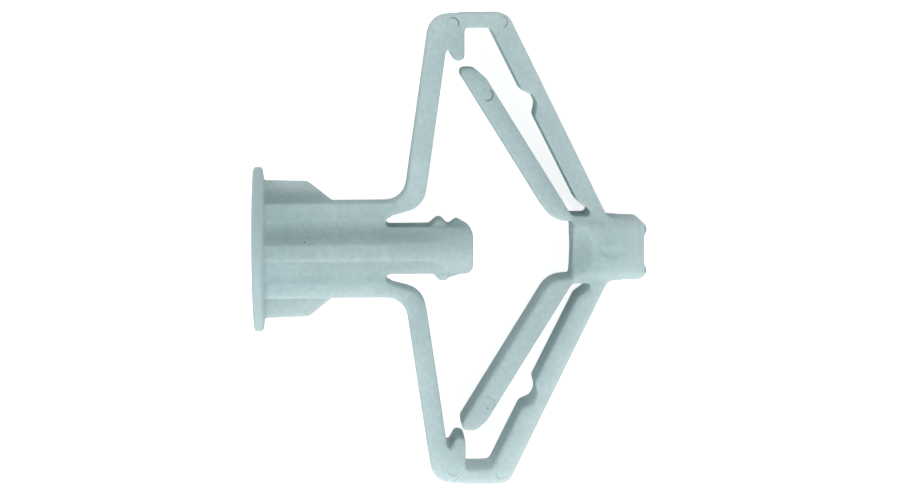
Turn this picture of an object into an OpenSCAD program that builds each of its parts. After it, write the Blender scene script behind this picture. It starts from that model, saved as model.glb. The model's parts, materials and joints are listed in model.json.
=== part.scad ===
// Plastic hollow-wall anchor, moulded in one piece.
// A flat head with a fluted, finned barrel carries a toothed prong. Two folding wings leave the barrel
// beside the prong, turn over at their outer corners and come back to a nose. A screw put through the
// barrel cuts its thread in the nose and draws it towards the prong, which folds the wings outwards
// until the tip of each strut is caught behind the hook of its rear arm.
//
// Each wing bends at its own thin places: the root by the barrel, the outer link and the two strips by
// the nose. Nothing is hinged with a pin and nothing comes apart.
//
// Design axes: +X from the head's outer face along the screw to the nose, +Y and -Y along the wings,
// Z through the flat of the wings. The whole part is then leant by rest_tilt, so that it lies on the rim
// of its head and the end of its nose. The origin is the centre of the head's outer face.

/* [Head] */
// Diameter of the head
head_d = 16.4; // [14:0.1:20]
// Thickness of the head at its rim
head_t = 0.9; // [0.8:0.1:2]
// Rounding of the rim's two corners
rim_r = 0.25; // [0.1:0.05:0.35]
// Extra thickness of the head inside its bevelled underside
head_crown = 0.15; // [0.05:0.05:0.4]
// Width of the bevel on the underside
head_bevel_w = 1.2; // [0.5:0.1:2]

/* [Screw] */
// Diameter of the screw hole through the barrel and the prong
screw_hole_d = 3.6; // [2.6:0.1:3.8]
// Diameter of the pilot hole in the nose, in which the screw cuts its thread
pilot_hole_d = 2.8; // [2:0.1:3.4]
// Width of the bevel that leads the screw into the pilot hole
pilot_lead = 0.5; // [0.2:0.1:0.8]

/* [Barrel] */
// Length from the head's outer face to the closed ends of the slots
barrel_len = 13.1; // [11:0.1:18]
// Width of the barrel across the wings' plane
barrel_w = 9.4; // [8.8:0.1:11]
// Thickness of the barrel's flat sides
barrel_t = 5.0; // [4.4:0.1:6]
// Width of the rib along each flat side
rib_w = 1.6; // [1:0.1:2]
// Thickness over the two ribs
rib_t = 7.6; // [6.8:0.1:8.4]
// Radius of the hollow flute on each side of a rib
flute_r = 2.0; // [1.7:0.1:2.4]
// Length over which a flute sweeps out of the prong
flute_exit = 4.0; // [2:0.1:5]
// Distance from the end of that sweep to the prong's end
flute_stop = 1.75; // [1:0.05:2]

/* [Fins] */
// Thickness of the two fins that stop the barrel turning
fin_t = 1.2; // [0.8:0.1:2]
// Reach of a fin beyond the barrel, next to the head
fin_reach = 2.2; // [1:0.1:2.8]
// Length of a fin's level stretch
fin_len = 4.5; // [2:0.1:6]
// Length over which a fin then slopes down to the barrel
fin_slope = 2.6; // [1.5:0.1:4]
// Amount by which a fin gets lower along its level stretch
fin_draft = 0.15; // [0:0.05:0.3]

/* [Prong] */
// Width of the prong
prong_w = 4.65; // [4.5:0.05:5.2]
// Width of the slot between the prong and a wing's root
slot_w = 1.0; // [0.6:0.01:1.1]
// Length of the prong beyond the closed ends of the slots
prong_len = 8.6; // [7.8:0.1:11]
// Thickness of the prong along its two edges
prong_edge_t = 5.6; // [4.6:0.1:6.4]
// Chamfer at the prong's end
prong_chamfer = 0.5; // [0.2:0.05:0.8]
// Height of the inner teeth above the prong's edge
tooth_h = 0.7; // [0.3:0.02:0.8]
// Length of the inner tooth's foot on the left side
tooth_len = 1.85; // [1.6:0.05:2]
// Length of the inner tooth's foot on the right side
short_tooth_len = 1.5; // [1.2:0.05:1.8]
// Distance from the inner teeth to the prong's end
tooth_inset = 2.4; // [2.2:0.01:2.8]
// Height of the outer tooth on the left side
outer_tooth_h = 0.58; // [0.2:0.02:0.7]
// Height of the ramp that follows the inner tooth on the right side
ramp_h = 0.5; // [0.2:0.02:0.6]
// Thickness of the inner teeth
inner_tooth_t = 4.8; // [3:0.1:5.2]
// Thickness of the outer tooth and of the ramp
outer_tooth_t = 3.0; // [1.6:0.1:4]

/* [Wings] */
// Span over both wings
wing_span = 46.8; // [42:0.2:54]
// Thickness of the wings
wing_t = 6.5; // [5.4:0.1:7]
// Distance from the slots' closed ends to the outer corner at a wing's root
root_run = 1.85; // [1.6:0.05:2.4]
// Angle at which a wing's inner side opens from its slot
root_flare = 14.8; // [10:0.2:20]
// Width of the rear arm
rear_arm_w = 1.97; // [1.6:0.05:2.4]
// Lean of the rear arm towards the nose
rear_lean = 8.2; // [4:0.2:12]
// Thickness of the outer link between the arms
link_t = 1.45; // [1.1:0.05:1.8]
// Length of the outer link, corner to corner
link_len = 7.5; // [6.6:0.1:8.5]
// Width of the front arm where it leaves the nose
front_arm_w = 1.93; // [1.7:0.01:2.3]
// Width of the front arm where it meets the link
front_arm_end_w = 2.15; // [1.7:0.01:2.4]
// Rounding of the wing's outer corner on the rear arm
rear_corner_r = 2.1; // [1:0.1:2.6]
// Rounding of the wing's outer corner on the front arm
front_corner_r = 1.3; // [0.8:0.1:2.2]
// Rounding of the wing's root on its outer side
root_r = 2.1; // [1:0.1:2.4]
// Rounding of the wing's root on its inner side
root_in_r = 2.4; // [1.4:0.1:4]
// Length over which the rear arm thickens from the barrel's thickness to the wing's
root_taper = 4.3; // [2:0.1:6]

/* [Hook and notch] */
// Width of the block that carries the hook, at the outer end of the rear arm
block_w = 3.27; // [3.1:0.01:3.8]
// Step between the block and the link on the outer side
block_step = 0.12; // [0.05:0.01:0.25]
// Reach of the hook below the link
hook_len = 3.3; // [2.6:0.1:4]
// Width of the hook's end
hook_w = 0.9; // [0.6:0.1:1.2]
// Depth of the gap between the hook and the rear arm, to its sharp corner
hook_gap = 1.6; // [1:0.1:2]
// Distance from the front arm's root to the middle of its notch
notch_at = 13.8; // [10:0.05:15.5]
// Length of the notch's floor
notch_len = 1.0; // [0.6:0.1:1.6]
// Depth of the notch
notch_depth = 0.77; // [0.4:0.01:0.9]

/* [Struts] */
// Width of a strut
strut_w = 1.95; // [1.6:0.05:2.3]
// Lean of a strut towards the head
strut_lean = 31.8; // [30:0.2:34]
// Length of a strut on its longer side
strut_len = 18.45; // [15:0.05:18.8]
// Slant of a strut's tip, from its longer side to its bevel
tip_slant = 0.95; // [0.4:0.05:1.4]
// Length of the bevel on a strut's tip
tip_bevel = 1.4; // [0.8:0.1:2]
// Rounding of a strut's foot, where it turns into its film hinge
strut_r = 2.6; // [1.5:0.1:3.2]
// Thickness of the film hinge that holds a strut to the nose
film_t = 0.45; // [0.35:0.05:0.6]

/* [Nose] */
// Gap between the prong and the nose
nose_gap = 9.9; // [8.6:0.05:12]
// Length of the nose
nose_len = 7.3; // [7:0.05:9]
// Width of the nose between the wings
nose_w = 6.1; // [5.6:0.1:6.6]
// Thickness of the nose
nose_t = 7.4; // [7:0.1:8]
// Rounding of the nose's long corners
nose_r = 1.0; // [0.6:0.1:1.8]
// Chamfer at the nose's end
nose_chamfer = 0.6; // [0.4:0.05:1]
// Distance from the nose's inner end to the root of a front arm
front_root = 3.5; // [3.3:0.05:4.2]
// Width of the shallow channel across the nose's end
channel_w = 3.3; // [1.6:0.1:3.6]
// Depth of that channel
channel_d = 0.25; // [0.1:0.05:0.4]
// Draft of the nose: how much narrower each side is at its end
nose_draft = 0.1; // [0:0.02:0.2]
// Width of the round scoops in the nose's inner end
scoop_w = 5.2; // [3.6:0.1:5.4]
// Depth of the scoops at the nose's inner end
scoop_d = 1.4; // [0.8:0.1:1.6]
// Length of the scoops
scoop_len = 2.2; // [1.6:0.1:2.5]

/* [Hidden] */
plastic = [0.62, 0.74, 0.76];

// Fineness of the arcs in outlines, in degrees, and of round surfaces
arc_step = 15;
round_fn = 48;
// Depth by which one volume runs into the next, and by which a cutter runs past a face
bite = 0.6;
past = 1;
// Small roundings of an outline's corners, from the sharpest to the softest
crisp_r = 0.2;
small_r = 0.3;
soft_r = 0.4;
tip_r = 0.6;

// Places along the axis
prong_end = barrel_len + prong_len;
nose_start = prong_end + nose_gap;
nose_end = nose_start + nose_len;

// The flute's circle bites a little into the flat side and passes through the rib's edge
flute_bite = 0.06;
flute_rise = (rib_t - barrel_t) / 2 + flute_bite;
flute_y = rib_w / 2 + sqrt(2 * flute_r * flute_rise - flute_rise * flute_rise);
flute_z = rib_t / 2 - flute_rise + flute_r;
// Radius of the sweep that lifts the flute by flute_rise over flute_exit
sweep_r = (flute_exit * flute_exit + flute_rise * flute_rise) / (2 * flute_rise);
sweep_start = prong_end - flute_exit - flute_stop;

// The crowned section of the prong: one arc just under the rib's crest, down to the two edges
crown_drop = 0.1;
crown_top = rib_t / 2 - crown_drop;
crown_rise = crown_top - prong_edge_t / 2;
crown_r = (prong_w * prong_w / 4 + crown_rise * crown_rise) / (2 * crown_rise);
crown_z = crown_top - crown_r;

// Teeth: where they meet, their flats, and the part of its slopes that a tooth spends on rising
tooth_end = prong_end - tooth_inset;
long_flat = 0.85;
inner_flat = 0.45;
outer_flat = 0.15;
inner_rise = 0.54;
outer_rise = 0.43;
late_rise = 0.84;
sudden_rise = 0.05;
outer_len = 2.0;
ramp_len = 1.9;

// Directions, outwards from the axis, along the rear arm, the root's inner side and the strut
rear_dir = [sin(rear_lean), cos(rear_lean)];
flare_dir = [cos(root_flare), sin(root_flare)];
strut_dir = [-sin(strut_lean), cos(strut_lean)];

// Outer corners of the wing, sharp: root, rear, front, and where the front arm meets the nose
root_out = [barrel_len + root_run, barrel_w / 2];
rear_out = root_out + rear_dir * (wing_span / 2 - barrel_w / 2) / cos(rear_lean);
front_out = rear_out + [link_len, 0];
nose_out = [nose_start + front_root, nose_w / 2];
front_dir = unit(front_out - nose_out);

// Inner sides of the arms: a point on each
rear_in = root_out + rear_arm_w * right(rear_dir);
front_in = nose_out + front_arm_w * left(front_dir);
front_in_dir = unit(front_out + front_arm_end_w * left(front_dir) - front_in);
link_in = wing_span / 2 - link_t;
slot_top = prong_w / 2 + slot_w;

// The inner corner between the wing's root and its rear arm
root_in = meet([barrel_len, slot_top], flare_dir, rear_in, rear_dir);

// The pocket between strut and front arm, above the nose
pocket_lead = 0.08;
pocket_rise = 0.28;
pocket_len = 1.77;
pocket_h = 0.6;
pocket_neck = 1.45;
pocket_floor = nose_w / 2 + pocket_rise;
pocket_start = [nose_start - pocket_lead, pocket_floor];
pocket_end = pocket_start.x + pocket_len;
strut_in = pocket_start + strut_w * left(strut_dir);
strut_foot = pocket_floor - film_t;

// The hook's outer side and tip, and the run of the small step over it
hook_side = rear_out.x + block_w;
hook_end = link_in - hook_len;
step_run = 0.25;

// The notch's sloping ends, and the shoulder of a strut's tip as a share of the strut's width
notch_half = notch_len / 2;
notch_slope = notch_depth * 1.2;
tip_shoulder = strut_w * 0.22;

// The ball that cuts a scoop of the given width, depth and length: its centre's place and its radius
scoop_back = (scoop_w * scoop_w / 4 - scoop_len * scoop_len) / (2 * scoop_len);
scoop_up = (scoop_w * scoop_w / 4 - scoop_d * scoop_d) / (2 * scoop_d);
scoop_r = norm([scoop_back, scoop_w / 2, scoop_up]);

// Where the wing's outline ends inside the nose
wing_end = nose_end - nose_len / 3;

// The head's rim and the nose's end touch the ground together
nose_rest_x = nose_end - nose_chamfer;
rest_tilt = atan((head_d - nose_t) / 2 / (nose_rest_x - head_t + rim_r));

// Plane geometry
function unit(v) = v / norm(v);
function left(v) = [-v.y, v.x];
function right(v) = [v.y, -v.x];
// The point where the line through p along u meets the line through q along v
function meet(p, u, q, v) = p + u * cross(q - p, v) / cross(u, v);
// A corner of an outline: where it is and how far it is rounded
function corner(p, r = 0) = [p.x, p.y, r];
function place(c) = [c[0], c[1]];
// The share of a side that a rounding may take: most of it, or under half if its other end is round too
function room(other) = other[2] > 0 ? 0.48 : 0.96;
// The arc that rounds corner b between a and c, kept inside the two sides it joins
function corner_arc(a, b, c, r) =
    let (
        back = place(a) - place(b),
        ahead = place(c) - place(b),
        half = acos(max(-1, min(1, unit(back) * unit(ahead)))) / 2,
        reach = min(r / tan(half), room(a) * norm(back), room(c) * norm(ahead)),
        radius = reach * tan(half),
        centre = place(b) + unit(unit(back) + unit(ahead)) * radius / sin(half),
        start = place(b) + unit(back) * reach - centre,
        turn = (180 - 2 * half) * sign(cross(-back, ahead)),
        steps = max(1, ceil(abs(turn) / arc_step))
    )
    [for (i = [0:steps])
        let (angle = turn * i / steps)
        centre + [
            start.x * cos(angle) - start.y * sin(angle),
            start.x * sin(angle) + start.y * cos(angle)
        ]];
function outline(corners) =
    let (last = len(corners) - 1)
    [for (i = [0:last])
        each corners[i][2] > 0
            ? corner_arc(corners[i == 0 ? last : i - 1], corners[i], corners[i == last ? 0 : i + 1],
                corners[i][2])
            : [place(corners[i])]];

// A section in Y and Z, drawn out along X
module along_x(from, to) {
    translate([from, 0, 0])
        rotate([90, 0, 90])
            linear_extrude(to - from) children();
}

// An outline in X and Y with its thickness centred on the wings' plane
module slab(thickness) {
    translate([0, 0, -thickness / 2])
        linear_extrude(thickness) children();
}

module both_sides() {
    children();
    mirror([0, 1, 0]) children();
}

module four_quarters() {
    for (y = [0, 1], z = [0, 1])
        mirror([0, y, 0])
            mirror([0, 0, z]) children();
}

// Head: a disc with a rounded rim and a bevelled underside
module head() {
    rotate([0, 90, 0])
        rotate_extrude($fn = 2 * round_fn)
            polygon(outline([
                corner([0, 0]),
                corner([head_d / 2, 0], rim_r),
                corner([head_d / 2, head_t], rim_r),
                corner([head_d / 2 - head_bevel_w, head_t + head_crown]),
                corner([0, head_t + head_crown]),
            ]));
}

// Barrel block: a flat bar with a rib block along each flat side
module barrel_block() {
    along_x(head_t / 2, barrel_len + slot_w / 2) {
        square([barrel_w, barrel_t], center = true);
        square([2 * flute_y, rib_t], center = true);
    }
}

// Prong block: a bar with crowned faces and a chamfered end, rooted in the barrel
module prong_block() {
    edge = prong_w / 2;
    intersection() {
        along_x(barrel_len - bite, prong_end)
            intersection() {
                square([prong_w, rib_t + past], center = true);
                union() {
                    translate([0, crown_z]) circle(crown_r, $fn = 2 * round_fn);
                    translate([0, -crown_z]) circle(crown_r, $fn = 2 * round_fn);
                    square([2 * crown_r, 2 * crown_z], center = true);
                }
            }
        slab(rib_t + past)
            polygon([
                [0, -edge],
                [prong_end - prong_chamfer, -edge],
                [prong_end, prong_chamfer - edge],
                [prong_end, edge - prong_chamfer],
                [prong_end - prong_chamfer, edge],
                [0, edge],
            ]);
    }
}

// Flute cutter: straight along the barrel and the prong, then swept up and out of the prong
module flute() {
    translate([-past, flute_y, flute_z])
        rotate([0, 90, 0])
            cylinder(h = sweep_start + past, r = flute_r, $fn = round_fn);
    translate([sweep_start, flute_y, flute_z + sweep_r])
        rotate([90, 0, 0])
            rotate_extrude($fn = 2 * round_fn)
                translate([sweep_r, 0]) circle(flute_r, $fn = round_fn);
}

// Slot ends: the round closed ends between the prong and the wings' roots
module slot_ends() {
    both_sides()
        translate([barrel_len + slot_w / 2, (prong_w + slot_w) / 2, 0])
            cylinder(h = rib_t + 2 * past, d = slot_w, center = true, $fn = round_fn);
}

// Core: barrel and prong together, with hollow flutes on both sides of each rib
module core() {
    difference() {
        union() {
            barrel_block();
            prong_block();
        }
        four_quarters() flute();
        slot_ends();
    }
}

// Fins: two thin blades in the wings' plane that bite into the edge of the hole
module fins() {
    both_sides()
        slab(fin_t)
            polygon(outline([
                corner([head_t / 2, 0]),
                corner([head_t / 2, barrel_w / 2 + fin_reach]),
                corner([head_t + fin_len, barrel_w / 2 + fin_reach - fin_draft], bite),
                corner([head_t + fin_len + fin_slope, barrel_w / 2]),
                corner([head_t + fin_len + fin_slope, 0]),
            ]));
}

// A tooth on the prong's left edge: it rises from its foot to a short flat and falls again
module tooth(foot, base, flat, height, rise, thickness) {
    edge = prong_w / 2;
    peak = foot + (base - flat) * rise;
    slab(thickness)
        polygon(outline([
            corner([foot, edge - bite]),
            corner([foot, edge]),
            corner([peak, edge + height], crisp_r),
            corner([peak + flat, edge + height], crisp_r),
            corner([foot + base, edge]),
            corner([foot + base, edge - bite]),
        ]));
}

// Teeth: two even ones on the left edge, and on the right edge a short one followed by a ramp
module teeth() {
    tooth(tooth_end - tooth_len, tooth_len, inner_flat, tooth_h, inner_rise, inner_tooth_t);
    tooth(tooth_end, outer_len, outer_flat, outer_tooth_h, outer_rise, outer_tooth_t);
    mirror([0, 1, 0]) {
        tooth(tooth_end - short_tooth_len, short_tooth_len, long_flat, tooth_h, late_rise, inner_tooth_t);
        tooth(tooth_end - outer_flat, ramp_len, outer_flat, ramp_h, sudden_rise, outer_tooth_t);
    }
}

// A point on the front arm: so far out along its inner side and so deep into it
function on_front(along, depth) = front_in + front_in_dir * along + depth * right(front_in_dir);
// A point on the strut: so far out along it and so far across it
function on_strut(along, across) = pocket_start + strut_dir * along + across * left(strut_dir);

// Wing outline: rear arm, block with its hook, link, notched front arm, pocket and strut, in one loop
module wing_shape() {
    polygon(outline([
        corner([barrel_len - past, barrel_w / 2]),
        corner(root_out, root_r),
        corner(rear_out - [0, block_step], rear_corner_r),
        corner([hook_side - 2 * step_run, wing_span / 2 - block_step]),
        corner([hook_side - step_run, wing_span / 2]),
        corner(front_out, front_corner_r),
        corner(nose_out, past),
        corner([wing_end, nose_w / 2]),
        corner([wing_end, nose_w / 4]),
        corner([nose_start + bite, nose_w / 4]),
        corner([nose_start + bite, strut_foot]),
        corner(meet([0, strut_foot], [1, 0], strut_in, strut_dir), strut_r),
        corner(on_strut(strut_len, strut_w), tip_r),
        corner(on_strut(strut_len - tip_slant, tip_shoulder), tip_r),
        corner(on_strut(strut_len - tip_slant - tip_bevel, 0), tip_r),
        corner(pocket_start, small_r),
        corner([pocket_end, pocket_floor], small_r),
        corner([pocket_end, pocket_floor + pocket_h], small_r),
        corner(meet([0, pocket_floor + pocket_neck], [1, 0], front_in, front_in_dir), soft_r),
        corner(on_front(notch_at - notch_half - notch_slope, 0), small_r),
        corner(on_front(notch_at - notch_half, notch_depth), soft_r),
        corner(on_front(notch_at + notch_half, notch_depth), soft_r),
        corner(on_front(notch_at + notch_half + notch_slope, 0), small_r),
        corner(meet([0, link_in], [1, 0], front_in, front_in_dir), tip_r),
        corner([hook_side, link_in], crisp_r),
        corner([hook_side, hook_end + crisp_r], soft_r),
        corner([hook_side - hook_w, hook_end], soft_r),
        corner(meet(rear_in, rear_dir, [0, hook_end + hook_gap], [1, 0]), crisp_r),
        corner(root_in, root_in_r),
        corner([barrel_len, slot_top]),
        corner([barrel_len - past, slot_top]),
    ]));
}

// Wings: two like slabs, thinner at the root, where they grow out of the barrel's flat sides
module wings() {
    root_y = barrel_w / 2;
    both_sides()
        difference() {
            slab(wing_t) wing_shape();
            for (z = [0, 1])
                mirror([0, 0, z])
                    along_x(barrel_len - 2 * past, root_out.x + rear_arm_w + past)
                        polygon([
                            [slot_top - past, barrel_t / 2],
                            [root_y, barrel_t / 2],
                            [root_y + root_taper, wing_t / 2],
                            [root_y + root_taper, wing_t],
                            [slot_top - past, wing_t],
                        ]);
        }
}

// Nose: a block with rounded long corners, a slight draft and a chamfered end
module nose_body() {
    side = nose_w / 2;
    face = nose_t / 2;
    intersection() {
        along_x(nose_start, nose_end)
            union() {
                square([nose_w, nose_t - 2 * nose_r], center = true);
                square([nose_w - 2 * nose_r, nose_t], center = true);
                for (y = [-1, 1], z = [-1, 1])
                    translate([y * (side - nose_r), z * (face - nose_r)])
                        circle(nose_r, $fn = round_fn);
            }
        slab(nose_t)
            polygon([
                [nose_start, -side],
                [nose_end - nose_chamfer, nose_draft - side],
                [nose_end, nose_draft + nose_chamfer - side],
                [nose_end, side - nose_draft - nose_chamfer],
                [nose_end - nose_chamfer, side - nose_draft],
                [nose_start, side],
            ]);
        rotate([90, 0, 0])
            slab(nose_w)
                polygon([
                    [nose_start, -face],
                    [nose_rest_x, -face],
                    [nose_end, nose_chamfer - face],
                    [nose_end, face - nose_chamfer],
                    [nose_rest_x, face],
                    [nose_start, face],
                ]);
    }
}

// Scoops: ball-shaped hollows in both flat sides of the nose's inner end, between the struts' feet
module scoops() {
    for (z = [0, 1])
        mirror([0, 0, z])
            translate([nose_start - scoop_back, 0, nose_t / 2 + scoop_up])
                sphere(scoop_r, $fn = 2 * round_fn);
}

// Channel: a shallow groove across the nose's end, which leaves a lip on each side
module end_channel() {
    translate([nose_end - channel_d, -channel_w / 2, -nose_t / 2 - past])
        cube([channel_d + past, channel_w, nose_t + 2 * past]);
}

// Screw hole: straight through the head, the barrel and the prong
module screw_hole() {
    translate([-past, 0, 0])
        rotate([0, 90, 0])
            cylinder(h = prong_end + 2 * past, d = screw_hole_d, $fn = round_fn);
}

// Pilot hole: through the nose, with a bevel that catches the screw's point
module pilot_hole() {
    translate([nose_start - past, 0, 0])
        rotate([0, 90, 0])
            cylinder(h = nose_len + 2 * past, d = pilot_hole_d, $fn = round_fn);
    translate([nose_start - pilot_lead, 0, 0])
        rotate([0, 90, 0])
            cylinder(h = 2 * pilot_lead, r1 = pilot_hole_d / 2 + 2 * pilot_lead, r2 = pilot_hole_d / 2,
                $fn = round_fn);
}

// The whole anchor, leant so that it lies on its rim and its nose
module anchor() {
    color(plastic)
        rotate([0, rest_tilt, 0])
            difference() {
                union() {
                    head();
                    fins();
                    core();
                    teeth();
                    wings();
                    nose_body();
                }
                scoops();
                end_channel();
                screw_hole();
                pilot_hole();
            }
}

anchor();
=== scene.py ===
"""Plastic drywall anchor.

The moulding with its rounded edges, mould marks, satin finish and painted shade, and a plain stage.
"""

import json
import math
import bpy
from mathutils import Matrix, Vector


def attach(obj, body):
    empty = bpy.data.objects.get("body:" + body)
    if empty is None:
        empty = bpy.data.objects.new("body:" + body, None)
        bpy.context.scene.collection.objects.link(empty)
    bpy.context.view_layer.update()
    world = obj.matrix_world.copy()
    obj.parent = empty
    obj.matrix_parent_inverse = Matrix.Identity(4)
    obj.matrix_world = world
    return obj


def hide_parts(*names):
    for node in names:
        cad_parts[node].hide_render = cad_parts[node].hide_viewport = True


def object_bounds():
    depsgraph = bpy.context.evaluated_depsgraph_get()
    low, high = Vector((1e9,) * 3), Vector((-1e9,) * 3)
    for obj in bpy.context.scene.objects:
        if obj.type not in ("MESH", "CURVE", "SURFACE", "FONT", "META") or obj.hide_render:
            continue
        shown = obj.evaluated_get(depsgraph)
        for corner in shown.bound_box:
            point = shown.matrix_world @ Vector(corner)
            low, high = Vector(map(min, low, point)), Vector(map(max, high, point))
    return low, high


bl_info = {
    "name": "Plastic Drywall Anchor",
    "version": (1, 0, 0),
    "blender": (4, 5, 0),
    "location": "3D View > Sidebar > Anchor",
    "description": "Finishes a moulded wall anchor and sets it on a plain studio floor",
    "category": "Object",
}

import bpy
import numpy as np
from mathutils import Matrix, Vector

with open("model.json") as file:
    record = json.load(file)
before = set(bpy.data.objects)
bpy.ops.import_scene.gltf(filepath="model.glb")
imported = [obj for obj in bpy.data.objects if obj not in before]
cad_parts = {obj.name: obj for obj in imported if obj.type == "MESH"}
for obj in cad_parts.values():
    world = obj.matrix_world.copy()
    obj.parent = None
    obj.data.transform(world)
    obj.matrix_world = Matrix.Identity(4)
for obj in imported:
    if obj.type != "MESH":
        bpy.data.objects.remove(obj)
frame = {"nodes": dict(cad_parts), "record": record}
CAD_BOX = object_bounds()

NODE = "anchor"
BODY = "root"

# The anchor is designed with the screw's axis along X and the wings in the XY plane, in millimetres.
# It lies leant on the rim of its head and the end of its nose, by the angle of its screw hole's axis.
MM = 0.001
SCREW_HOLE = next(m for m in frame["record"]["mounts"] if m["name"] == "screw_hole")
LEAN = math.atan2(SCREW_HOLE["axis"][2], -SCREW_HOLE["axis"][0])
DESIGN_TO_ROW = Matrix.Rotation(LEAN, 4, "Y") @ Matrix.Scale(MM, 4)
ROW_TO_DESIGN = DESIGN_TO_ROW.inverted()

# Where one region of the moulding gives way to the next: each pair is the span of a smooth change
FLAT_FACES = (1.2, 2.2)  # height from the wings' plane
BARREL_END = (12.5, 13.5)  # along the axis
WING_ROOTS = (13.0, 15.0)  # along the axis
WING_ARMS = (8.5, 9.5)  # distance from the axis, plus WING_SLANT of the way along it
WING_SLANT = 0.35
SCOOP_START = (32.0, 32.8)  # along the axis
SCOOP_END = (35.0, 36.0)  # along the axis
SCOOP_SIDES = (2.2, 3.0)  # distance from the axis
SCOOP_FLOOR = (1.0, 1.8)  # height over the wings' plane

# Share of the way to the middle of its neighbours that a smoothing pass moves a point
EDGE_SHARE = 0.5
WING_SHARE = 0.12
SCOOP_SHARE = 0.5

# The barrel's flat sides: their slope away from the rib, the rib's half width, and how wide they are
BARREL_DRAFT = 0.08
RIB_HALF_WIDTH = 2.7
FLAT_SIDE_WIDTH = 2.5

# Ejector pin marks: place, the side in degrees on which the pin's rim bites, how far round it shows to each
# hand in degrees, how deep it bites and how dark its painted shade is there, and how much the pin's face is
# tilted down to that side
PIN_MARKS = (
    {"at": (19.76, 22.39, 3.25), "side": 50, "arc": 75, "bite": 1.0, "tilt": 0.05},
    {"at": (24.52, 22.52, 3.25), "side": 0, "arc": 75, "bite": 0.75, "tilt": 0.05},
    {"at": (23.1, 15.4, 3.25), "side": -20, "arc": 85, "bite": 1.0, "tilt": 0.06},
    {"at": (23.23, -15.24, 3.25), "side": 10, "arc": 110, "bite": 0.3, "tilt": 0.03},
    {"at": (19.67, -21.9, 3.25), "side": 250, "arc": 90, "bite": 0.4, "tilt": 0.02},
    {"at": (24.51, -22.26, 3.25), "side": 245, "arc": 70, "bite": 0.3, "tilt": 0.06},
    {"at": (5.5, 2.5, 2.6), "side": 250, "arc": 120, "bite": 0.18, "tilt": 0.0},
    {"at": (5.5, -3.1, 2.5), "side": 20, "arc": 120, "bite": 0.12, "tilt": 0.0},
)
# Half the width of a pin mark's soft edge, and the depths under its face between which it fades out
PIN_SOFTNESS = 0.08
PIN_SKIN = (0.5, 0.2)
# A pin's rim: how far it and its dark core reach to each side of the pin's edge, the distances from the face
# between which it fades out, the span of cosines over which its arc ends, and the share that shows all round
RIM_REACH = 0.1
RIM_CORE = 0.02
RIM_SKIN = (0.6, 0.3)
RIM_FADE = (-0.25, 0.45)
RIM_ALL_ROUND = 0.12
# Least distance from a pin's centre that a direction is worked out for
LEAST_DISTANCE = 0.01

# Height of the nose's level face over the wings' plane
NOSE_FACE = 3.7
# Half-round gate mark in the nose: level at its straight side, it tilts down to its round side. Its edge is
# soft over so much inside and outside its radius, and it fades out between two depths under the face
GATE_MARK = {"at": (35.5, 0.45), "radius": 1.25, "tilt": 0.2, "soft": (0.2, 0.1), "skin": (0.7, 0.3)}

# Dark patches: specks, scuffs and stained spots, and painted shade in corners and hollows such as the
# prong's end and the nose's inner corners. Each has place, half lengths, turn about the wings' normal in
# degrees, and strength
STAINS_AND_SHADE = (
    ((5.1, 1.0, 3.4), (0.13, 0.11, 0.8), 0, 0.75),
    ((5.4, 3.0, 2.6), (0.08, 0.07, 0.5), 0, 0.5),
    ((5.4, -1.75, 2.7), (0.08, 0.08, 0.6), 0, 0.4),
    ((2.15, -4.6, 2.4), (0.12, 0.08, 0.6), 0, 0.45),
    ((0.85, 1.6, 5.4), (0.09, 1.1, 3.0), 0, 0.5),
    ((-0.05, 2.2, 6.5), (0.3, 0.1, 2.0), 35, 0.35),
    ((0.3, 1.0, 7.0), (0.45, 0.07, 2.0), 70, 0.3),
    ((14.0, 2.4, 1.6), (0.28, 0.3, 0.5), 0, 0.6),
    ((16.1, 2.3, 1.3), (0.22, 0.3, 0.4), 0, 0.6),
    ((15.8, 2.35, -0.6), (0.4, 0.3, 0.3), 0, 0.4),
    # Painted shade on the prong's end face
    ((21.68, 0.5, 1.5), (0.2, 0.36, 4.0), 0, 0.9),
    ((20.2, -0.1, 3.4), (0.09, 0.1, 0.5), 0, 0.4),
    ((32.61, -2.0, 3.7), (0.1, 0.11, 1.2), 0, 0.8),
    # Painted shade in the corners where the nose's inner end meets the struts
    ((31.25, -1.55, 2.6), (0.45, 0.5, 1.6), 0, 0.55),
    ((30.7, -2.35, 1.8), (1.1, 0.35, 1.8), 12, 0.45),
    ((31.7, 2.45, 2.6), (0.4, 0.3, 1.6), 0, 0.3),
    ((38.75, 2.0, 3.0), (0.2, 0.55, 1.2), 0, 0.6),
    ((38.75, -2.05, 3.0), (0.25, 0.35, 1.2), 0, 0.65),
    ((34.19, -0.3, 3.7), (0.07, 2.1, 0.4), 2, 0.16),
    ((23.05, -15.72, 3.25), (0.12, 0.1, 0.5), 0, 0.7),
    ((24.12, -11.88, 3.25), (0.08, 0.09, 0.5), 0, 0.4),
    ((19.9, -22.92, 3.25), (0.66, 0.07, 0.5), 44, 0.45),
    ((19.43, -19.38, 3.25), (0.6, 0.7, 1.2), 0, 0.22),
    ((17.85, 21.6, 2.9), (0.07, 0.4, 0.8), -10, 0.45),
    ((29.0, -11.2, 1.2), (0.16, 1.5, 1.1), -26, 0.4),
    ((18.5, 14.9, 2.9), (0.12, 0.14, 1.0), 0, 0.45),
)
# Distance in a dark patch's half lengths at which it begins and at which it is full, and how far that wavers
STAIN_AND_SHADE_EDGE = (1.0, 0.35)
STAIN_AND_SHADE_WAVER = 0.3

# Unevenness of the plastic: the scale of its noise in a millimetre, and the span of the noise that counts
CLOUD_SCALE = 0.45
CLOUD_SPAN = (0.35, 0.65)
MOTTLE_SCALE = 1.9
MOTTLE_SPAN = (0.3, 0.7)
GRAIN_SCALE = 7.0
GRAIN_SPAN = (0.2, 0.8)

# How much of its own colour each effect brings in, and the span along the axis where the head's painted
# shade ends
MOTTLE_TINT = 0.35
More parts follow.
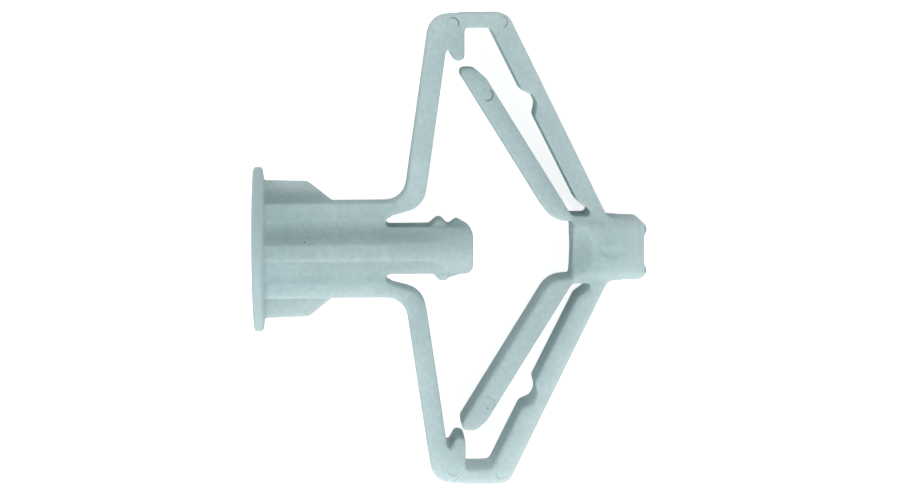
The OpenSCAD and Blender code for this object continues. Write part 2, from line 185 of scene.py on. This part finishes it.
# The pins' rims take the dark colour as painted shade, on the side where each pin's face tilts down
RIM_PAINTED_SHADE = 0.8
# The head takes the mottling's colour as painted shade, darker than the barrel
HEAD_PAINTED_SHADE = 0.95
HEAD_SHADE_END = (1.5, 0.8)

# Depth and strength of the bumps
RIM_BUMP = (0.05, 0.6)
GRAIN_BUMP = (0.02, 0.3)

# Half width of the floor in diagonals of the anchor's box, and the glow on it that only the camera sees
FLOOR_REACH = 40
FLOOR_GLOW = 0.75

# Square area lamps: place, aim, side, and power in watts
LAMPS = {
    "window": {"at": (15, -125, 135), "aim": (20, -5, 0), "side": 110, "power": 0.2},
    "fill": {"at": (-100, 110, 40), "aim": (20, 5, 0), "side": 110, "power": 0.03},
}
# The sky's strength at the horizon and high up, and the span of the upward direction between them
SKY_HORIZON = 1.0
SKY_TOP = 0.43
SKY_RISE = (0.0, 0.8)

# The camera's foot on the wings' plane, the point it is aimed at, and its roll in degrees
CAMERA_FOOT = (9.28, 28.87)
CAMERA_AIM = (19.53, -0.23)
CAMERA_ROLL = 0.2
SENSOR_WIDTH = 36.0
# Nearest and furthest distance that the camera sees, in metres
CLIP_SPAN = (0.001, 10.0)


class AnchorMouldingSettings(bpy.types.PropertyGroup):
    """Sizes of the moulding's surface detail."""

    fineness: bpy.props.FloatProperty(
        name="Fineness",
        description="Size of the even mesh that the moulding's surface is made of",
        default=0.00012,
        min=0.0001,
        max=0.0004,
        unit="LENGTH",
        subtype="DISTANCE",
    )
    edge_passes: bpy.props.IntProperty(
        name="Edge passes",
        description="Smoothing passes that take the sharpness off every edge",
        default=3,
        min=0,
        max=40,
    )
    face_passes: bpy.props.IntProperty(
        name="Face edge passes",
        description="Further passes that round the wings' flat faces and the nose's scoop",
        default=40,
        min=0,
        max=120,
    )
    pin_radius: bpy.props.FloatProperty(
        name="Ejector pin radius",
        description="Radius of the ejector pins' marks",
        default=0.00057,
        unit="LENGTH",
        subtype="DISTANCE",
    )
    face_budget: bpy.props.IntProperty(
        name="Triangles",
        description="Most triangles that the finished moulding has",
        default=190000,
        min=20000,
        max=199000,
    )


class AnchorPlasticSettings(bpy.types.PropertyGroup):
    """Colours and sheen of the plastic, and the colours of its painted shade."""

    color: bpy.props.FloatVectorProperty(
        name="Plastic",
        description="Colour of the plastic",
        default=(0.415, 0.565, 0.58, 1.0),
        size=4,
        min=0.0,
        max=1.0,
        subtype="COLOR",
    )
    pale_color: bpy.props.FloatVectorProperty(
        name="Pale clouds",
        description="Colour of the paler clouds in the plastic",
        default=(0.445, 0.595, 0.61, 1.0),
        size=4,
        min=0.0,
        max=1.0,
        subtype="COLOR",
    )
    # The fine darker mottling's colour is also used for the painted shade on the head
    mottle_and_shade_color: bpy.props.FloatVectorProperty(
        name="Mottling and head shade",
        description="Colour of the fine darker mottling",
        default=(0.315, 0.44, 0.46, 1.0),
        size=4,
        min=0.0,
        max=1.0,
        subtype="COLOR",
    )
    # Used for dark specks, scuffs and stained spots, and for painted shade in corners and hollows and at the
    # pins' rims
    grime_and_shade_color: bpy.props.FloatVectorProperty(
        name="Grime and shade",
        description="Colour of dark plastic and dirt in corners",
        default=(0.075, 0.12, 0.13, 1.0),
        size=4,
        min=0.0,
        max=1.0,
        subtype="COLOR",
    )
    roughness: bpy.props.FloatProperty(
        name="Roughness",
        description="Roughness of the moulded surface",
        default=0.55,
        min=0.0,
        max=1.0,
        subtype="FACTOR",
    )
    milkiness: bpy.props.FloatProperty(
        name="Milkiness",
        description="Share of the light that goes into the plastic and comes out again",
        default=0.6,
        min=0.0,
        max=1.0,
        subtype="FACTOR",
    )
    milk_depth: bpy.props.FloatProperty(
        name="Milk depth",
        description="How deep the light goes in",
        default=0.012,
        unit="LENGTH",
        subtype="DISTANCE",
    )


class AnchorStageSettings(bpy.types.PropertyGroup):
    """Floor, lamps and camera."""

    floor_color: bpy.props.FloatVectorProperty(
        name="Floor",
        description="Colour of the floor and the backdrop",
        default=(0.85, 0.85, 0.85, 1.0),
        size=4,
        min=0.0,
        max=1.0,
        subtype="COLOR",
    )
    camera_height: bpy.props.FloatProperty(
        name="Camera height",
        description="Distance of the camera from the wings' plane",
        default=0.25941,
        unit="LENGTH",
        subtype="DISTANCE",
    )
    lens: bpy.props.FloatProperty(
        name="Lens",
        description="Focal length of the camera",
        default=104.64,
        min=20.0,
        max=300.0,
        unit="CAMERA",
    )


# Moulding


def even_mesh(source, fineness):
    """The node's surface as one even mesh in the design frame, in millimetres."""
    solid = bpy.data.objects.new("moulding_solid", source.data.copy())
    solid.data.transform(ROW_TO_DESIGN)
    blank = bpy.data.objects.new("moulding_blank", solid.data)
    for obj in (solid, blank):
        bpy.context.scene.collection.objects.link(obj)
    remesh = blank.modifiers.new("Even", "REMESH")
    remesh.mode = "VOXEL"
    remesh.voxel_size = fineness
    snap = blank.modifiers.new("Snap", "SHRINKWRAP")
    snap.target = solid
    snap.wrap_method = "NEAREST_SURFACEPOINT"
    made = evaluated_copy(blank)
    mesh = solid.data
    for obj in (blank, solid):
        bpy.data.objects.remove(obj)
    bpy.data.meshes.remove(mesh)
    return made


def evaluated_copy(obj):
    """A new mesh that holds what an object's modifiers make of it."""
    graph = bpy.context.evaluated_depsgraph_get()
    return bpy.data.meshes.new_from_object(obj.evaluated_get(graph))


def reduced_mesh(mesh, budget):
    """The mesh with its flat stretches thinned out until it has no more triangles than the budget."""
    mesh.calc_loop_triangles()
    count = len(mesh.loop_triangles)
    if count <= budget:
        return mesh
    blank = bpy.data.objects.new("moulding_blank", mesh)
    bpy.context.scene.collection.objects.link(blank)
    thin = blank.modifiers.new("Thin", "DECIMATE")
    thin.ratio = budget / count
    made = evaluated_copy(blank)
    bpy.data.objects.remove(blank)
    bpy.data.meshes.remove(mesh)
    return made


def points_of(mesh):
    """The mesh's points, one in each row."""
    points = np.empty(len(mesh.vertices) * 3)
    mesh.vertices.foreach_get("co", points)
    return points.reshape(-1, 3)


def smooth_step(value, low, high):
    """0 below low, 1 above high, and a smooth rise between them."""
    t = np.clip((value - low) / (high - low), 0.0, 1.0)
    return t * t * (3.0 - 2.0 * t)


def smoothed(points, edges, passes, share):
    """The points after some passes, each of which moves them towards the middle of their neighbours."""
    first, second = edges[:, 0], edges[:, 1]
    count = len(points)
    degree = np.bincount(first, minlength=count) + np.bincount(second, minlength=count)
    for _ in range(passes):
        middle = np.empty_like(points)
        for axis in range(3):
            line = points[:, axis]
            middle[:, axis] = np.bincount(first, line[second], count)
            middle[:, axis] += np.bincount(second, line[first], count)
        points = points + share * (middle / degree[:, None] - points)
    return points


def soften_edges(points, edges, settings):
    """Rounded edges: a little everywhere, more on the wings' flat faces, most about the nose's scoop."""
    points = smoothed(points, edges, settings.edge_passes, EDGE_SHARE)
    x, y, z = points.T
    wing = smooth_step(np.abs(y) + WING_SLANT * x, *WING_ARMS) * smooth_step(x, *WING_ROOTS)
    flat = smooth_step(np.abs(z), *FLAT_FACES)
    scoop = smooth_step(x, *SCOOP_START) * (1.0 - smooth_step(x, *SCOOP_END))
    scoop *= (1.0 - smooth_step(np.abs(y), *SCOOP_SIDES)) * smooth_step(z, *SCOOP_FLOOR)
    share = np.maximum(WING_SHARE * wing * flat, SCOOP_SHARE * scoop)
    return smoothed(points, edges, settings.face_passes, share[:, None])


def draft_barrel(points):
    """The barrel's flat sides fall away a little from the rib, as they do out of a mould."""
    x, y, z = points.T
    side = smooth_step(np.abs(z), *FLAT_FACES) * (1.0 - smooth_step(x, *BARREL_END))
    fall = BARREL_DRAFT * np.clip(np.abs(y) - RIB_HALF_WIDTH, 0.0, FLAT_SIDE_WIDTH)
    points[:, 2] -= np.sign(z) * side * fall
    return points


def skin(z, face, depths):
    """1 on a level face and 0 deeper down, so that a mark on it stays off the far side."""
    deep, shallow = depths
    return smooth_step(z, face - deep, face - shallow)


def press_pin_marks(points, radius):
    """Ejector pin marks: small round faces, each a little tilted down to one side."""
    for mark in PIN_MARKS:
        upper = skin(points[:, 2], mark["at"][2], PIN_SKIN)
        dx = points[:, 0] - mark["at"][0]
        dy = points[:, 1] - mark["at"][1]
        inside = 1.0 - smooth_step(np.hypot(dx, dy), radius - PIN_SOFTNESS, radius + PIN_SOFTNESS)
        angle = math.radians(mark["side"])
        along = (dx * math.cos(angle) + dy * math.sin(angle)) / radius
        points[:, 2] -= upper * inside * mark["tilt"] * along
    return points


def press_gate_mark(points):
    """The half-round gate mark in the nose's upper face."""
    upper = skin(points[:, 2], NOSE_FACE, GATE_MARK["skin"])
    dx = points[:, 0] - GATE_MARK["at"][0]
    down = np.maximum(GATE_MARK["at"][1] - points[:, 1], 0.0)
    within, beyond = GATE_MARK["soft"]
    radius = GATE_MARK["radius"]
    inside = 1.0 - smooth_step(np.hypot(dx, down), radius - within, radius + beyond)
    points[:, 2] -= upper * inside * GATE_MARK["tilt"] * down
    return points


def build_moulding(settings):
    """The anchor's solid with softened edges, drafted sides and the marks of its mould."""
    mesh = even_mesh(frame["nodes"][NODE], settings.fineness / MM)
    edges = np.empty(len(mesh.edges) * 2, dtype=np.int64)
    mesh.edges.foreach_get("vertices", edges)
    points = soften_edges(points_of(mesh), edges.reshape(-1, 2), settings)
    points = draft_barrel(points)
    points = press_pin_marks(points, settings.pin_radius / MM)
    points = press_gate_mark(points)
    mesh.vertices.foreach_set("co", points.ravel())
    mesh = reduced_mesh(mesh, settings.face_budget)
    mesh.transform(DESIGN_TO_ROW)
    mesh.name = "moulding"
    mesh.shade_smooth()
    piece = bpy.data.objects.new("moulding", mesh)
    bpy.context.scene.collection.objects.link(piece)
    return piece


# Finish and painted shade


def new_group(name, inputs, outputs):
    """A shader node group with its sockets, still empty, and its two end nodes."""
    group = bpy.data.node_groups.new(name, "ShaderNodeTree")
    for label, kind, default in inputs:
        socket = group.interface.new_socket(label, in_out="INPUT", socket_type=kind)
        if default is not None:
            socket.default_value = default
    for label, kind in outputs:
        group.interface.new_socket(label, in_out="OUTPUT", socket_type=kind)
    return group, group.nodes.new("NodeGroupInput"), group.nodes.new("NodeGroupOutput")


def feed(tree, socket, value):
    """Link a node's output to a socket, or set the socket to a plain value."""
    if isinstance(value, bpy.types.NodeSocket):
        tree.links.new(value, socket)
    else:
        socket.default_value = value


def use_group(tree, group, values):
    """A group's node in a tree, with its named inputs fed."""
    node = tree.nodes.new("ShaderNodeGroup")
    node.node_tree = group
    for label, value in values.items():
        feed(tree, node.inputs[label], value)
    return node


def noise(tree, vector, scale, detail, roughness):
    """Noise from 0 to 1."""
    node = tree.nodes.new("ShaderNodeTexNoise")
    for label, value in (("Vector", vector), ("Scale", scale), ("Detail", detail), ("Roughness", roughness)):
        feed(tree, node.inputs[label], value)
    return node.outputs["Fac"]


def ramp(tree, value, low, high, start=0.0, end=1.0):
    """A value moved from the span low..high to start..end, and held at both ends."""
    node = tree.nodes.new("ShaderNodeMapRange")
    node.interpolation_type = "SMOOTHSTEP"
    for label, number in (("From Min", low), ("From Max", high), ("To Min", start), ("To Max", end)):
        node.inputs[label].default_value = number
    tree.links.new(value, node.inputs["Value"])
    return node.outputs["Result"]


def maths(tree, operation, *values):
    """The result of a sum on numbers, each plain or from a socket."""
    node = tree.nodes.new("ShaderNodeMath")
    node.operation = operation
    for socket, value in zip(node.inputs, values):
        feed(tree, socket, value)
    return node.outputs["Value"]


def vector_maths(tree, operation, *values):
    """The result of a sum on vectors: a number for a length or a dot product, and else a vector."""
    node = tree.nodes.new("ShaderNodeVectorMath")
    node.operation = operation
    for socket, value in zip(node.inputs, values):
        feed(tree, socket, value)
    return node.outputs["Value" if operation in ("LENGTH", "DOT_PRODUCT") else "Vector"]


def strongest(tree, masks):
    """The strongest of some masks at each place."""
    total = masks[0]
    for mask in masks[1:]:
        total = maths(tree, "MAXIMUM", total, mask)
    return total


def cloud_group():
    """Soft clouds, fine mottling and a fine grain in moulded plastic, as masks from 0 to 1."""
    group, start, end = new_group(
        "moulded_cloud",
        [("Vector", "NodeSocketVector", None), ("Cloud scale", "NodeSocketFloat", 1.0)],
        [("Cloud", "NodeSocketFloat"), ("Mottle", "NodeSocketFloat"), ("Grain", "NodeSocketFloat")],
    )
    place = start.outputs["Vector"]
    cloud = noise(group, place, start.outputs["Cloud scale"], detail=3.0, roughness=0.5)
    group.links.new(ramp(group, cloud, *CLOUD_SPAN), end.inputs["Cloud"])
    mottle = noise(group, place, MOTTLE_SCALE, detail=3.0, roughness=0.65)
    group.links.new(ramp(group, mottle, *MOTTLE_SPAN), end.inputs["Mottle"])
    grain = noise(group, place, GRAIN_SCALE, detail=2.0, roughness=0.6)
    group.links.new(grain, end.inputs["Grain"])
    return group


def pin_rim_group():
    """The rim that an ejector pin bites into a level face: a thin arc about a side, as a mask."""
    group, start, end = new_group(
        "pin_rim",
        [
            ("Vector", "NodeSocketVector", None),
            ("Centre", "NodeSocketVector", None),
            ("Side", "NodeSocketVector", None),
            ("Radius", "NodeSocketFloat", 1.0),
            ("Arc", "NodeSocketFloat", 0.5),
            ("Bite", "NodeSocketFloat", 1.0),
        ],
        [("Rim", "NodeSocketFloat")],
    )
    offset = vector_maths(group, "SUBTRACT", start.outputs["Vector"], start.outputs["Centre"])
    level = vector_maths(group, "MULTIPLY", offset, (1.0, 1.0, 0.0))
    distance = vector_maths(group, "LENGTH", level)
    gap = maths(group, "ABSOLUTE", maths(group, "SUBTRACT", distance, start.outputs["Radius"]))
    thin = ramp(group, gap, RIM_REACH, RIM_CORE)
    dot = vector_maths(group, "DOT_PRODUCT", level, start.outputs["Side"])
    facing = maths(group, "DIVIDE", dot, maths(group, "MAXIMUM", distance, LEAST_DISTANCE))
    past_arc = maths(group, "SUBTRACT", facing, start.outputs["Arc"])
    about = maths(group, "ADD", ramp(group, past_arc, *RIM_FADE), RIM_ALL_ROUND)
    height = group.nodes.new("ShaderNodeSeparateXYZ")
    group.links.new(offset, height.inputs["Vector"])
    on_face = ramp(group, maths(group, "ABSOLUTE", height.outputs["Z"]), *RIM_SKIN)
    shown = maths(group, "MULTIPLY", maths(group, "MULTIPLY", about, thin), on_face)
    group.links.new(maths(group, "MULTIPLY", shown, start.outputs["Bite"]), end.inputs["Rim"])
    return group


def stain_and_shade_group():
    """A soft-edged oval dark patch with a ragged outline, as a mask; the table holds specks, scuffs, stained
    spots and painted shade.
    """
    group, start, end = new_group(
        "stain_and_shade",
        [
            ("Vector", "NodeSocketVector", None),
            ("Centre", "NodeSocketVector", None),
            ("Half lengths", "NodeSocketVector", None),
            ("Turn", "NodeSocketFloat", 0.0),
            ("Strength", "NodeSocketFloat", 1.0),
            ("Ragged", "NodeSocketFloat", 0.0),
        ],
        [("Stain and shade", "NodeSocketFloat")],
    )
    turned = group.nodes.new("ShaderNodeVectorRotate")
    turned.rotation_type = "Z_AXIS"
    group.links.new(start.outputs["Vector"], turned.inputs["Vector"])
    group.links.new(start.outputs["Centre"], turned.inputs["Center"])
    group.links.new(maths(group, "MULTIPLY", start.outputs["Turn"], -1.0), turned.inputs["Angle"])
    offset = vector_maths(group, "SUBTRACT", turned.outputs["Vector"], start.outputs["Centre"])
    scaled = vector_maths(group, "DIVIDE", offset, start.outputs["Half lengths"])
    reach = vector_maths(group, "LENGTH", scaled)
    shape = ramp(group, maths(group, "ADD", reach, start.outputs["Ragged"]), *STAIN_AND_SHADE_EDGE)
    group.links.new(maths(group, "MULTIPLY", shape, start.outputs["Strength"]), end.inputs["Stain and shade"])
    return group


def design_place(tree):
    """The place on the moulding in the design frame, in millimetres."""
    place = tree.nodes.new("ShaderNodeTexCoord")
    mapped = tree.nodes.new("ShaderNodeMapping")
    mapped.inputs["Rotation"].default_value = (0.0, -LEAN, 0.0)
    mapped.inputs["Scale"].default_value = (1.0 / MM,) * 3
    tree.links.new(place.outputs["Object"], mapped.inputs["Vector"])
    return mapped.outputs["Vector"]


def mixed(tree, share, first, second):
    """Two colours mixed by a share; each may be a colour or a socket."""
    node = tree.nodes.new("ShaderNodeMix")
    node.data_type = "RGBA"
    for label, value in (("Factor", share), ("A", first), ("B", second)):
        feed(tree, node.inputs[label], value)
    return node.outputs["Result"]


def bump(tree, height, depth, strength):
    """A bump with a depth in millimetres."""
    node = tree.nodes.new("ShaderNodeBump")
    node.inputs["Strength"].default_value = strength
    node.inputs["Distance"].default_value = depth * MM
    tree.links.new(height, node.inputs["Height"])
    return node


def pin_rims(tree, place, radius):
    """All the ejector pins' rims together, as one mask."""
    group = pin_rim_group()
    rims = []
    for mark in PIN_MARKS:
        side = math.radians(mark["side"])
        values = {
            "Vector": place,
            "Centre": mark["at"],
            "Side": (math.cos(side), math.sin(side), 0.0),
            "Radius": radius,
            "Arc": math.cos(math.radians(mark["arc"])),
            "Bite": mark["bite"],
        }
        rims.append(use_group(tree, group, values).outputs["Rim"])
    return strongest(tree, rims)


def stains_and_shade(tree, place, grain):
    """Every dark patch of the table together, as one mask: specks, scuffs, stained spots and painted shade.
    """
    group = stain_and_shade_group()
    ragged = ramp(tree, grain, *GRAIN_SPAN, -STAIN_AND_SHADE_WAVER, STAIN_AND_SHADE_WAVER)
    masks = []
    for centre, half_lengths, turn, strength in STAINS_AND_SHADE:
        values = {
            "Vector": place,
            "Centre": centre,
            "Half lengths": half_lengths,
            "Turn": math.radians(turn),
            "Strength": strength,
            "Ragged": ragged,
        }
        masks.append(use_group(tree, group, values).outputs["Stain and shade"])
    return strongest(tree, masks)


def plastic_material(settings, pin_radius):
    """Milky satin plastic, unevenly coloured, with painted shade on the head and at the pins' rims, and a
    few specks, stained spots and patches of painted shade.
    """
    material = bpy.data.materials.new("satin_plastic")
    material.use_nodes = True
    tree = material.node_tree
    shader = tree.nodes["Principled BSDF"]
    shader.inputs["Roughness"].default_value = settings.roughness
    shader.inputs["Subsurface Weight"].default_value = settings.milkiness
    shader.inputs["Subsurface Radius"].default_value = (1.0, 1.0, 1.0)
    shader.inputs["Subsurface Scale"].default_value = settings.milk_depth

    place = design_place(tree)
    cloud = use_group(tree, cloud_group(), {"Vector": place, "Cloud scale": CLOUD_SCALE})
    along = tree.nodes.new("ShaderNodeSeparateXYZ")
    tree.links.new(place, along.inputs["Vector"])
    # Painted shade: the head is darker than the rest
    head = ramp(tree, along.outputs["X"], *HEAD_SHADE_END, 0.0, HEAD_PAINTED_SHADE)
    mottle = ramp(tree, cloud.outputs["Mottle"], 0.0, 1.0, 0.0, MOTTLE_TINT)
    rims = pin_rims(tree, place, pin_radius)
    # Painted shade at the pins' rims, and the table's dark patches, which hold painted shade as well as
    # specks
    marks = [maths(tree, "MULTIPLY", rims, RIM_PAINTED_SHADE), stains_and_shade(tree, place, cloud.outputs["Grain"])]

    tint = mixed(tree, cloud.outputs["Cloud"], settings.color, settings.pale_color)
    tint = mixed(tree, maths(tree, "ADD", mottle, head), tint, settings.mottle_and_shade_color)
    tint = mixed(tree, strongest(tree, marks), tint, settings.grime_and_shade_color)
    tree.links.new(tint, shader.inputs["Base Color"])

    dent = bump(tree, rims, *RIM_BUMP)
    dent.invert = True
    texture = bump(tree, cloud.outputs["Grain"], *GRAIN_BUMP)
    tree.links.new(dent.outputs["Normal"], texture.inputs["Normal"])
    tree.links.new(texture.outputs["Normal"], shader.inputs["Normal"])
    return material


class ANCHOR_OT_moulding(bpy.types.Operator):
    """Make the finished moulding over the anchor's solid"""

    bl_idname = "anchor.moulding"
    bl_label = "Moulding"

    def execute(self, context):
        piece = build_moulding(context.scene.anchor_moulding)
        piece.data.materials.clear()
        pin_radius = context.scene.anchor_moulding.pin_radius / MM
        piece.data.materials.append(plastic_material(context.scene.anchor_plastic, pin_radius))
        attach(piece, BODY)
        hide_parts(NODE)
        return {"FINISHED"}


# Stage


def floor_material(color):
    """A pale floor that the camera sees as white where no shadow falls."""
    material = bpy.data.materials.new("floor")
    material.use_nodes = True
    tree = material.node_tree
    shader = tree.nodes["Principled BSDF"]
    shader.inputs["Base Color"].default_value = color
    shader.inputs["Roughness"].default_value = 1.0
    shader.inputs["Specular IOR Level"].default_value = 0.0
    glow = tree.nodes.new("ShaderNodeEmission")
    glow.inputs["Strength"].default_value = FLOOR_GLOW
    rays = tree.nodes.new("ShaderNodeLightPath")
    lit = tree.nodes.new("ShaderNodeAddShader")
    seen = tree.nodes.new("ShaderNodeMixShader")
    tree.links.new(shader.outputs["BSDF"], lit.inputs[0])
    tree.links.new(glow.outputs["Emission"], lit.inputs[1])
    tree.links.new(rays.outputs["Is Camera Ray"], seen.inputs["Fac"])
    tree.links.new(shader.outputs["BSDF"], seen.inputs[1])
    tree.links.new(lit.outputs["Shader"], seen.inputs[2])
    tree.links.new(seen.outputs["Shader"], tree.nodes["Material Output"].inputs["Surface"])
    return material


def build_floor(color):
    """The floor, level with the lowest point of the anchor and wide enough to be the backdrop too."""
    low, high = CAD_BOX
    centre = (low + high) / 2
    reach = FLOOR_REACH * (high - low).length
    corners = [
        (centre.x + sx * reach, centre.y + sy * reach, low.z)
        for sx, sy in ((-1, -1), (1, -1), (1, 1), (-1, 1))
    ]
    mesh = bpy.data.meshes.new("floor")
    mesh.from_pydata(corners, [], [(0, 1, 2, 3)])
    mesh.materials.append(floor_material(color))
    floor = bpy.data.objects.new("floor", mesh)
    bpy.context.scene.collection.objects.link(floor)


def build_lamps():
    """The square area lamps, each turned to its aim."""
    for name, lamp in LAMPS.items():
        data = bpy.data.lights.new(name, "AREA")
        data.shape = "SQUARE"
        data.size = lamp["side"] * MM
        data.energy = lamp["power"]
        light = bpy.data.objects.new(name, data)
        bpy.context.scene.collection.objects.link(light)
        place, aim = (DESIGN_TO_ROW @ Vector(lamp[key]) for key in ("at", "aim"))
        light.location = place
        light.rotation_mode = "QUATERNION"
        light.rotation_quaternion = (aim - place).to_track_quat("-Z", "Y")


def build_sky():
    """A white world that is bright at the horizon and dimmer above."""
    world = bpy.data.worlds.new("studio")
    world.use_nodes = True
    tree = world.node_tree
    place = tree.nodes.new("ShaderNodeTexCoord")
    parts = tree.nodes.new("ShaderNodeSeparateXYZ")
    tree.links.new(place.outputs["Generated"], parts.inputs["Vector"])
    strength = ramp(tree, parts.outputs["Z"], *SKY_RISE, SKY_HORIZON, SKY_TOP)
    background = tree.nodes["Background"]
    tree.links.new(strength, background.inputs["Strength"])
    background.inputs["Color"].default_value = (1.0, 1.0, 1.0, 1.0)
    bpy.context.scene.world = world


def build_camera(settings):
    """The camera over its foot, with a slight roll."""
    data = bpy.data.cameras.new("camera")
    data.lens = settings.lens
    data.sensor_width = SENSOR_WIDTH
    data.clip_start, data.clip_end = CLIP_SPAN
    camera = bpy.data.objects.new("camera", data)
    bpy.context.scene.collection.objects.link(camera)
    height = settings.camera_height / MM
    spot = DESIGN_TO_ROW @ Vector((*CAMERA_FOOT, height))
    aim = DESIGN_TO_ROW @ Vector((*CAMERA_AIM, 0.0))
    back = (spot - aim).normalized()
    roll = math.radians(CAMERA_ROLL)
    up = DESIGN_TO_ROW.to_quaternion() @ Vector((math.sin(roll), math.cos(roll), 0.0))
    right = up.cross(back).normalized()
    up = back.cross(right)
    camera.matrix_world = Matrix.Translation(spot) @ Matrix((right, up, back)).transposed().to_4x4()
    bpy.context.scene.camera = camera


class ANCHOR_OT_stage(bpy.types.Operator):
    """Set out the floor, the lamps and the camera"""

    bl_idname = "anchor.stage"
    bl_label = "Stage"

    def execute(self, context):
        settings = context.scene.anchor_stage
        build_floor(settings.floor_color)
        build_lamps()
        build_sky()
        build_camera(settings)
        context.scene.view_settings.view_transform = "Standard"
        return {"FINISHED"}


class ANCHOR_PT_panel(bpy.types.Panel):
    """Lists the anchor's settings and steps"""

    bl_label = "Anchor"
    bl_space_type = "VIEW_3D"
    bl_region_type = "UI"
    bl_category = "Anchor"

    def draw(self, context):
        scene = context.scene
        steps = (
            (ANCHOR_OT_moulding, (scene.anchor_moulding, scene.anchor_plastic)),
            (ANCHOR_OT_stage, (scene.anchor_stage,)),
        )
        for operator, groups in steps:
            for settings in groups:
                for name in type(settings).__annotations__:
                    self.layout.prop(settings, name)
            self.layout.operator(operator.bl_idname)


CLASSES = (
    AnchorMouldingSettings,
    AnchorPlasticSettings,
    AnchorStageSettings,
    ANCHOR_OT_moulding,
    ANCHOR_OT_stage,
    ANCHOR_PT_panel,
)


def register():
    for cls in CLASSES:
        bpy.utils.register_class(cls)
    bpy.types.Scene.anchor_moulding = bpy.props.PointerProperty(type=AnchorMouldingSettings)
    bpy.types.Scene.anchor_plastic = bpy.props.PointerProperty(type=AnchorPlasticSettings)
    bpy.types.Scene.anchor_stage = bpy.props.PointerProperty(type=AnchorStageSettings)


def unregister():
    del bpy.types.Scene.anchor_stage
    del bpy.types.Scene.anchor_plastic
    del bpy.types.Scene.anchor_moulding
    for cls in reversed(CLASSES):
        bpy.utils.unregister_class(cls)


def main():
    register()
    bpy.ops.anchor.moulding()
    bpy.ops.anchor.stage()


if __name__ == "__main__":
    main()
